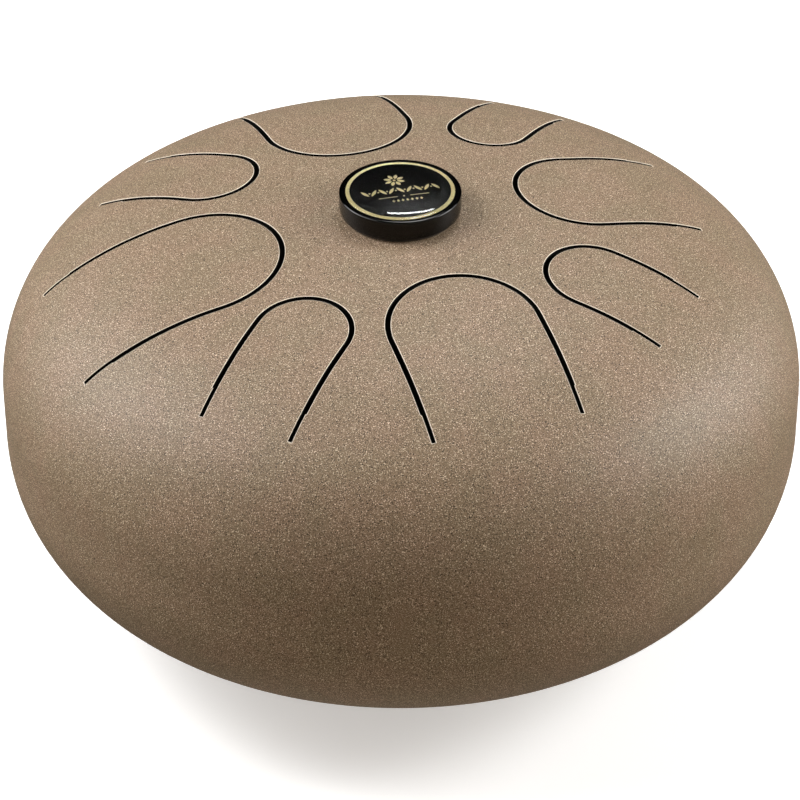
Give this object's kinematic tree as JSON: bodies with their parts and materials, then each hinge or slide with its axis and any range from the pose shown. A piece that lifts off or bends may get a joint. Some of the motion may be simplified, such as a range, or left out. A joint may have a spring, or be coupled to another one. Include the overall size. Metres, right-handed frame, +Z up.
{
  "type": "steel tongue drum",
  "caption": "Round steel tongue drum: two pressed half shells, tuned tongues cut in the top, a bolted crown puck, a sound port below and rubber feet.",
  "frame": {"origin": "centre of the footprint on the plane of the feet", "axes": "+Z up along the drum's axis; the player sits on the -Y side; +X to the player's right"},
  "size_m": [0.3999, 0.4, 0.2269],
  "materials": {
    "powder_coat": "satin, finely speckled bronze-brown powder coat",
    "rubber": "matt black",
    "puck_plastic": "black, slightly glossy",
    "zinc_steel": "zinc plated",
    "badge_black": "gloss black print",
    "badge_gold": "gold foil",
    "badge_resin": "clear domed resin"
  },
  "bodies": {
    "drum": {"top_shell": "powder_coat", "bottom_shell": "powder_coat", "weld_bead": "powder_coat", "hub_gasket": "rubber", "hub_puck": "puck_plastic", "hub_screw": "zinc_steel", "hub_washer": "zinc_steel", "hub_nut": "zinc_steel", "badge_plate": "badge_black", "badge_ring": "badge_gold", "badge_resin": "badge_resin", "rubber_feet": "rubber", "foot_screws": "zinc_steel", "foot_washers": "zinc_steel", "foot_nuts": "zinc_steel"},
    "tongue_large_1": {"tongue_large_1": "powder_coat"},
    "tongue_large_2": {"tongue_large_2": "powder_coat"},
    "tongue_large_3": {"tongue_large_3": "powder_coat"},
    "tongue_large_4": {"tongue_large_4": "powder_coat"},
    "tongue_small_1": {"tongue_small_1": "powder_coat"},
    "tongue_small_2": {"tongue_small_2": "powder_coat"},
    "tongue_small_3": {"tongue_small_3": "powder_coat"},
    "tongue_small_4": {"tongue_small_4": "powder_coat"}
  },
  "joints": [
    {"name": "tongue_large_1_flex", "type": "hinge", "parent": "drum", "child": "tongue_large_1", "pos_m": [0.04934, -0.14746, 0.18778], "axis": [-0.9483, -0.3173, 0], "range_deg": [-1, 1], "stiffness_Nm_per_rad": 290},
    {"name": "tongue_large_2_flex", "type": "hinge", "parent": "drum", "child": "tongue_large_2", "pos_m": [-0.16311, -0.05458, 0.17682], "axis": [-0.3173, 0.9483, 0], "range_deg": [-1, 1], "stiffness_Nm_per_rad": 290},
    {"name": "tongue_large_3_flex", "type": "hinge", "parent": "drum", "child": "tongue_large_3", "pos_m": [-0.05013, 0.14983, 0.18641], "axis": [0.9483, 0.3173, 0], "range_deg": [-1, 1], "stiffness_Nm_per_rad": 300},
    {"name": "tongue_large_4_flex", "type": "hinge", "parent": "drum", "child": "tongue_large_4", "pos_m": [0.1394, 0.04664, 0.19215], "axis": [0.3173, -0.9483, 0], "range_deg": [-1, 1], "stiffness_Nm_per_rad": 300},
    {"name": "tongue_small_1_flex", "type": "hinge", "parent": "drum", "child": "tongue_small_1", "pos_m": [-0.07206, -0.14453, 0.18513], "axis": [-0.8949, 0.4462, 0], "range_deg": [-1, 1], "stiffness_Nm_per_rad": 220},
    {"name": "tongue_small_2_flex", "type": "hinge", "parent": "drum", "child": "tongue_small_2", "pos_m": [-0.1414, 0.0705, 0.18709], "axis": [0.4462, 0.8949, 0], "range_deg": [-1, 1], "stiffness_Nm_per_rad": 240},
    {"name": "tongue_small_3_flex", "type": "hinge", "parent": "drum", "child": "tongue_small_3", "pos_m": [0.06693, 0.13424, 0.19126], "axis": [0.8949, -0.4462, 0], "range_deg": [-1, 1], "stiffness_Nm_per_rad": 230},
    {"name": "tongue_small_4_flex", "type": "hinge", "parent": "drum", "child": "tongue_small_4", "pos_m": [0.13334, -0.06648, 0.1916], "axis": [-0.4462, -0.8949, 0], "range_deg": [-1, 1], "stiffness_Nm_per_rad": 260}
  ]
}
